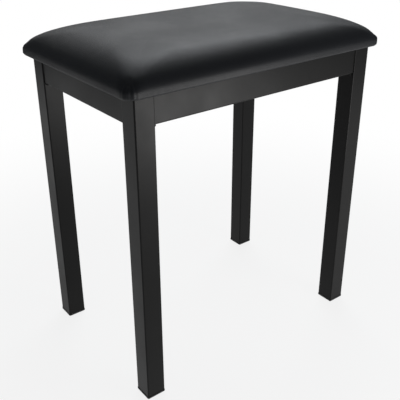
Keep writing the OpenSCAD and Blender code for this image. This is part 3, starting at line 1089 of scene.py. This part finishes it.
def hex_ring(across_flats, z, steps=48, chamfer=None):
    """A hexagon's outline, with its corners dropped by a chamfer that starts at a radius."""
    ring = []
    for i in range(steps):
        angle = math.tau * i / steps
        flat = (angle + math.pi / 6) % (math.pi / 3) - math.pi / 6
        radius = across_flats / 2 / math.cos(flat)
        drop = 0 if chamfer is None else max(radius - chamfer, 0) * math.tan(math.radians(30))
        ring.append((radius * math.cos(angle), radius * math.sin(angle), z + drop))
    return ring


def bolt_mesh(across_flats, head, shank_radius, length):
    """A hexagon bolt, head down, with its head's free face at z = 0."""
    face = HEAD_FACE * across_flats
    return ring_mesh("bolt", [
        circle_ring(face * 0.55, 0),
        circle_ring(face, 0),
        hex_ring(across_flats, 0, chamfer=face),
        hex_ring(across_flats, head),
        circle_ring(shank_radius, head),
        circle_ring(shank_radius, length - SHANK_CHAMFER),
        circle_ring(shank_radius - SHANK_CHAMFER, length),
    ])


def washer_mesh(inner, outer, height):
    """A flat washer with its edges broken, from z = 0 up."""
    return ring_mesh("washer", [
        circle_ring(inner, 0),
        circle_ring(outer - WASHER_EDGE, 0),
        circle_ring(outer, WASHER_EDGE),
        circle_ring(outer, height - WASHER_EDGE),
        circle_ring(outer - WASHER_EDGE, height),
        circle_ring(inner, height),
    ], closed=True)


class BENCH_OT_fixings(bpy.types.Operator):
    """Puts in the seat's bolts and washers, and plates the tee nuts"""

    bl_idname = "bench.fixings"
    bl_label = "Put in the bolts"

    def execute(self, context):
        bolts, washers = solids_of("seat_bolts"), solids_of("bolt_washers")
        bolt_low, bolt_high = bolts[0]
        washer_low, washer_high = washers[0]
        bolt = bolt_mesh(
            bolt_high.y - bolt_low.y, washer_low.z - bolt_low.z, SHANK_RADIUS, bolt_high.z - bolt_low.z
        )
        washer = washer_mesh(
            SHANK_RADIUS + SHANK_CLEARANCE, (washer_high.x - washer_low.x) / 2, washer_high.z - washer_low.z
        )
        plans = [
            ("bolts", bolt, bolts, bolt_low.z, "seat_bolts"),
            ("washers", washer, washers, washer_low.z, "bolt_washers"),
        ]
        for name, mesh, boxes, z, node in plans:
            shade_smooth(mesh)
            model = link_object(f"{name}_model", mesh)
            points = path_mesh(name, [[Vector(((a.x + b.x) / 2, (a.y + b.y) / 2, z))] for a, b in boxes])
            copies = run_nodes(name, points, copies_tree(), {
                "Piece": model, "Turn": FIXING_TURN, "Seed": 5, "Material": zinc_plate(),
            })
            bpy.data.objects.remove(model)
            finish_piece(copies, None, "zinc_steel", node)
        coat_node("tee_nuts", zinc_plate())
        return {"FINISHED"}


# ---- stage ----


def add_light(name, place, aim, size, power, colour):
    """A rectangular soft light at a place, aimed at a point."""
    light = bpy.data.lights.new(name, "AREA")
    light.shape = "RECTANGLE"
    light.size, light.size_y = size
    light.energy = power
    light.color = colour
    obj = link_object(name, light)
    obj.location = place
    obj.rotation_mode = "QUATERNION"
    obj.rotation_quaternion = (Vector(aim) - Vector(place)).to_track_quat("-Z", "Y")
    return obj


def seen_directly(tree):
    """1 for what the camera sees, straight on, in a reflection or through glass, and 0 for plain light."""
    rays = tree.nodes.new("ShaderNodeLightPath")
    seen = rays.outputs["Is Camera Ray"]
    for kind in ("Is Glossy Ray", "Is Transmission Ray"):
        seen = add(tree, "ShaderNodeMath", {0: seen, 1: rays.outputs[kind]}, operation="MAXIMUM").outputs[0]
    return seen


class BENCH_OT_stage(bpy.types.Operator):
    """Sets up the floor, the light and the camera"""

    bl_idname = "bench.stage"
    bl_label = "Set up the stage"

    def make_camera(self, context):
        stage = context.scene.bench_stage
        camera = link_object("camera", bpy.data.cameras.new("camera"))
        ahead = Vector((
            math.sin(stage.heading) * math.cos(stage.pitch),
            math.cos(stage.heading) * math.cos(stage.pitch),
            -math.sin(stage.pitch),
        ))
        right = Vector((math.cos(stage.heading), -math.sin(stage.heading), 0))
        turn = Matrix.Rotation(-stage.roll, 3, ahead)
        right = turn @ right
        up = right.cross(ahead)
        rotation = Matrix((right, up, -ahead)).transposed().to_4x4()
        camera.matrix_world = Matrix.Translation(stage.eye) @ rotation
        camera.data.lens = stage.lens
        camera.data.sensor_width = 36
        camera.data.shift_x, camera.data.shift_y = stage.shift
        camera.data.clip_start = 0.05
        context.scene.camera = camera

    def make_floor(self, context):
        """A pale floor: white further out, with the bench's shadow near it, and clear from below."""
        half = context.scene.bench_stage.floor_half
        bm = bmesh.new()
        bmesh.ops.create_grid(bm, x_segments=1, y_segments=1, size=half)
        floor = link_object("floor", mesh_from(bm, "floor"))
        material = bpy.data.materials.new("floor")
        material.use_nodes = True
        tree = material.node_tree
        shader = tree.nodes["Principled BSDF"]
        shader.inputs["Base Color"].default_value = (0.8, 0.8, 0.8, 1)
        shader.inputs["Roughness"].default_value = 0.9
        white = add(tree, "ShaderNodeEmission", {"Strength": 1.0})
        place = tree.nodes.new("ShaderNodeTexCoord").outputs["Object"]
        away = add(tree, "ShaderNodeVectorMath", {0: place}, operation="LENGTH")
        share = add(tree, "ShaderNodeMapRange", {
            "Value": away.outputs["Value"], "From Min": 0.3, "From Max": 1.1, "To Min": 0.85, "To Max": 1.0,
        }, interpolation_type="SMOOTHSTEP")
        lit = add(tree, "ShaderNodeMixShader", {
            0: share.outputs["Result"], 1: shader.outputs[0], 2: white.outputs[0],
        })
        mix = add(tree, "ShaderNodeMixShader", {
            0: seen_directly(tree), 1: shader.outputs[0], 2: lit.outputs[0],
        })
        side = tree.nodes.new("ShaderNodeNewGeometry")
        clear = tree.nodes.new("ShaderNodeBsdfTransparent")
        one_sided = add(tree, "ShaderNodeMixShader", {
            0: side.outputs["Backfacing"], 1: mix.outputs[0], 2: clear.outputs[0],
        })
        tree.links.new(one_sided.outputs[0], tree.nodes["Material Output"].inputs["Surface"])
        floor.data.materials.append(material)

    def make_world(self, context):
        """Dim, even room light, shown white behind the bench."""
        world = bpy.data.worlds.new("studio")
        world.use_nodes = True
        tree = world.node_tree
        room = tree.nodes["Background"]
        room.inputs["Color"].default_value = (0.9, 0.95, 1.0, 1)
        room.inputs["Strength"].default_value = 0.16
        rays = tree.nodes.new("ShaderNodeLightPath")
        white = add(tree, "ShaderNodeBackground", {"Color": (1, 1, 1, 1), "Strength": 1.0})
        mix = add(tree, "ShaderNodeMixShader", {
            0: rays.outputs["Is Camera Ray"], 1: room.outputs[0], 2: white.outputs[0],
        })
        tree.links.new(mix.outputs[0], tree.nodes["World Output"].inputs["Surface"])
        context.scene.world = world

    def execute(self, context):
        self.make_camera(context)
        self.make_floor(context)
        self.make_world(context)
        middle = (0, 0, 0.3)
        front_rail_end = (-0.15, -0.14, 0.44)
        add_light("above", (1.35, 1.35, 1.9), middle, (1.7, 1.3), power=25, colour=(0.94, 0.97, 1.0))
        add_light("back", (1.0, 1.9, 0.95), middle, (2.2, 0.8), power=10, colour=(1.0, 1.0, 1.0))
        add_light("low", (0.34, -0.83, 0.15), front_rail_end, (0.4, 0.2), power=3.2,
                  colour=(1.0, 0.99, 0.98))
        context.scene.view_settings.view_transform = "Standard"
        return {"FINISHED"}


# ---- add-on ----

STEPS = (
    BENCH_OT_coat_frame, BENCH_OT_foot_plugs, BENCH_OT_welds, BENCH_OT_staples, BENCH_OT_seat_cover,
    BENCH_OT_seat_core, BENCH_OT_lining, BENCH_OT_fixings, BENCH_OT_stage,
)


class BENCH_PT_panel(bpy.types.Panel):
    """The steps that finish the bench"""

    bl_idname = "BENCH_PT_panel"
    bl_label = "Piano bench"
    bl_space_type = "VIEW_3D"
    bl_region_type = "UI"
    bl_category = "Bench"

    def draw(self, context):
        for step in STEPS:
            self.layout.operator(step.bl_idname)


GROUPS = {"bench_frame": BENCH_PG_frame, "bench_seat": BENCH_PG_seat, "bench_stage": BENCH_PG_stage}
CLASSES = (*GROUPS.values(), *STEPS, BENCH_PT_panel)


def register():
    for cls in CLASSES:
        bpy.utils.register_class(cls)
    for name, group in GROUPS.items():
        setattr(bpy.types.Scene, name, PointerProperty(type=group))


def unregister():
    for name in GROUPS:
        delattr(bpy.types.Scene, name)
    for cls in reversed(CLASSES):
        bpy.utils.unregister_class(cls)


def main():
    register()
    for step in STEPS:
        group, _, name = step.bl_idname.partition(".")
        getattr(getattr(bpy.ops, group), name)()


if __name__ == "__main__":
    main()
